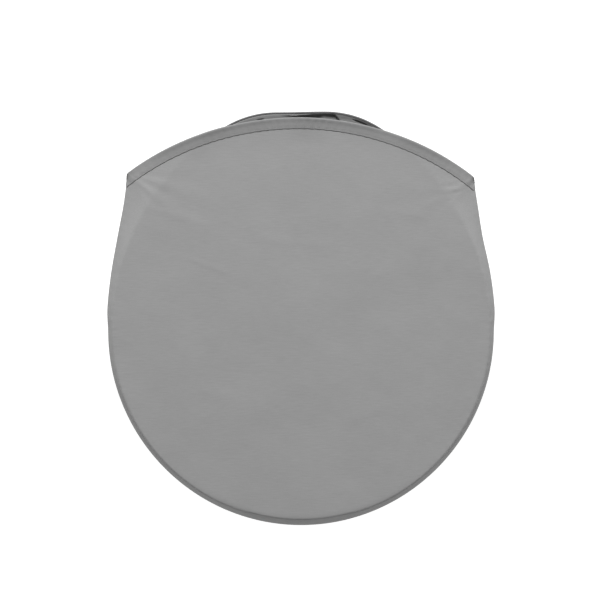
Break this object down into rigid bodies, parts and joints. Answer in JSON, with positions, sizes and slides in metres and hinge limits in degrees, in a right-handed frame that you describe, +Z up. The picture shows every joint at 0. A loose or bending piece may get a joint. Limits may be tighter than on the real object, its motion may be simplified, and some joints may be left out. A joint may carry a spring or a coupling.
{
  "type": "collapsible backdrop in pouch",
  "caption": "Sprung cloth photo backdrop, twist-folded into coils and stored in a round open-mouthed cloth pouch of the same grey cloth.",
  "frame": {"origin": "on the resting face, under the common axis of the folded coils' half circles", "axes": "+Z up out of the pouch's front panel, +Y towards the pouch's mouth, +X across the mouth"},
  "size_m": [0.6404, 0.683, 0.0464],
  "materials": {
    "pouch_cloth": "matte",
    "hem_cloth": "matte",
    "thread": "matte",
    "seam_tape": "matte",
    "spring_steel": "satin",
    "sleeve_steel": "satin",
    "rivet_metal": "satin",
    "joint_wrap": "matte",
    "binding_cloth": "matte",
    "backdrop_cloth": "matte"
  },
  "bodies": {
    "pouch": {"pouch_back_panel": "pouch_cloth", "pouch_front_panel": "pouch_cloth", "back_mouth_hem": "hem_cloth", "back_hem_stitching": "thread", "side_seam_tape": "seam_tape", "side_seam_stitching": "thread", "left_corner_tack": "thread", "right_corner_tack": "thread"},
    "mouth_lip": {"pouch_front_lip": "pouch_cloth", "front_mouth_hem": "hem_cloth", "front_hem_stitching": "thread"},
    "folded_backdrop": {"spring_band": "spring_steel", "band_joint_sleeve": "sleeve_steel", "band_joint_rivets": "rivet_metal", "band_joint_wrap": "joint_wrap", "edge_binding": "binding_cloth", "edge_binding_stitching": "thread", "backdrop_cloth_lower_leaf": "backdrop_cloth", "backdrop_cloth_middle_leaf": "backdrop_cloth", "backdrop_cloth_upper_leaf": "backdrop_cloth"}
  },
  "joints": [
    {"name": "lip_open", "type": "hinge", "parent": "pouch", "child": "mouth_lip", "pos_m": [0, 0.2775, 0.0447], "axis": [1, 0, 0], "range_deg": [0, 60], "deforming": ["pouch_front_panel"]},
    {"name": "pull_out", "type": "slide", "parent": "pouch", "child": "folded_backdrop", "axis": [0, 1, 0], "range_m": [0, 0.7], "deforming": ["pouch_back_panel", "pouch_front_panel", "side_seam_tape", "side_seam_stitching", "left_corner_tack", "right_corner_tack"]}
  ]
}
